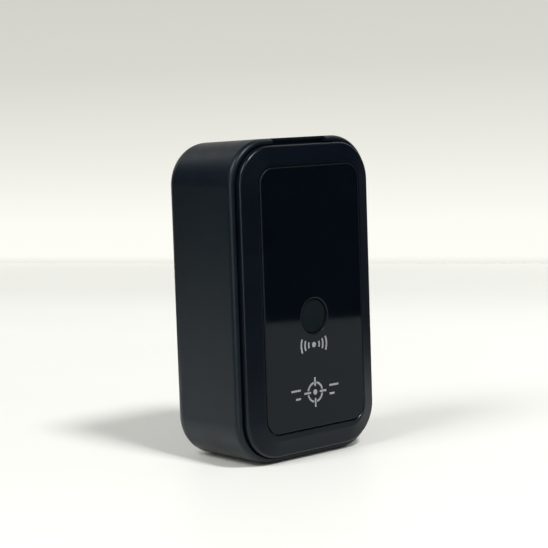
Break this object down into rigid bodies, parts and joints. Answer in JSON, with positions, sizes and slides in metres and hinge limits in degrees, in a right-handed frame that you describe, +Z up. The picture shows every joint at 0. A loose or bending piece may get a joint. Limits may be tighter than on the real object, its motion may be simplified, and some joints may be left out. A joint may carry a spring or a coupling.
{
  "type": "gps tracker",
  "caption": "Small upright black tracker with rounded corners, a snap-off front cover with a glossy inlay, a round call button and magnets in its back.",
  "frame": {"origin": "middle of the footprint on the ground that the tracker stands on, on its short end", "axes": "+X across the width, +Y from the front cover to the magnets' faces, +Z up along the height"},
  "size_m": [0.026, 0.0172, 0.045],
  "materials": {
    "housing_plastic": "satin",
    "cover_plastic": "satin",
    "gloss_inlay": "polished",
    "button_plastic": "matte",
    "keeper_plastic": "matte",
    "board_laminate": "satin",
    "plated_steel": "satin",
    "sheet_steel": "satin",
    "black_moulding": "satin",
    "ivory_moulding": "satin",
    "light_moulding": "polished",
    "chip_moulding": "matte",
    "small_part_ceramic": "satin",
    "antenna_ceramic": "matte",
    "silver_plate": "satin",
    "copper_strip": "satin",
    "gold_plate": "polished",
    "card_plastic": "satin",
    "soft_rubber": "matte",
    "foam": "matte",
    "cell_foil": "satin",
    "amber_tape": "satin",
    "red_wire": "satin",
    "black_wire": "satin",
    "nickel_plate": "polished"
  },
  "bodies": {
    "case": {"rear_shell": "housing_plastic", "circuit_board": "board_laminate", "board_screws": "plated_steel", "switch_body": "black_moulding", "switch_frame": "sheet_steel", "status_lights": "light_moulding", "processor": "chip_moulding", "small_parts": "small_part_ceramic", "modem_shield": "sheet_steel", "modem_chip": "chip_moulding", "gps_patch": "antenna_ceramic", "gps_patch_plate": "silver_plate", "gps_feed_pin": "plated_steel", "gsm_antenna": "copper_strip", "sim_tray": "black_moulding", "sim_contacts": "gold_plate", "sim_cover": "sheet_steel", "usb_shell": "plated_steel", "usb_tongue": "black_moulding", "microphone": "silver_plate", "microphone_boot": "soft_rubber", "foam_pad": "foam", "battery_cell": "cell_foil", "battery_cap_board": "board_laminate", "battery_tape": "amber_tape", "battery_wire_red": "red_wire", "battery_wire_black": "black_wire", "battery_plug": "ivory_moulding", "battery_socket": "ivory_moulding", "magnet_upper": "nickel_plate", "magnet_lower": "nickel_plate"},
    "cover": {"front_cover": "cover_plastic", "gloss_panel": "gloss_inlay", "button_keeper": "keeper_plastic"},
    "button": {"call_button": "button_plastic"},
    "plunger": {"switch_plunger": "ivory_moulding"},
    "sim": {"sim_card": "card_plastic"}
  },
  "joints": [
    {"name": "cover_release", "type": "slide", "parent": "case", "child": "cover", "axis": [0, -1, 0], "range_m": [0, 0.012]},
    {"name": "button_press", "type": "slide", "parent": "cover", "child": "button", "axis": [0, 1, 0], "range_m": [0, 0.0003], "stiffness_N_per_m": 2000},
    {"name": "plunger_press", "type": "slide", "parent": "case", "child": "plunger", "axis": [0, 1, 0], "range_m": [0, 0.0003]},
    {"name": "sim_slide", "type": "slide", "parent": "case", "child": "sim", "axis": [-1, 0, 0], "range_m": [0, 0.0082]}
  ],
  "couplings": [
    {"joint": "plunger_press", "follows": "button_press", "ratio": 1}
  ]
}
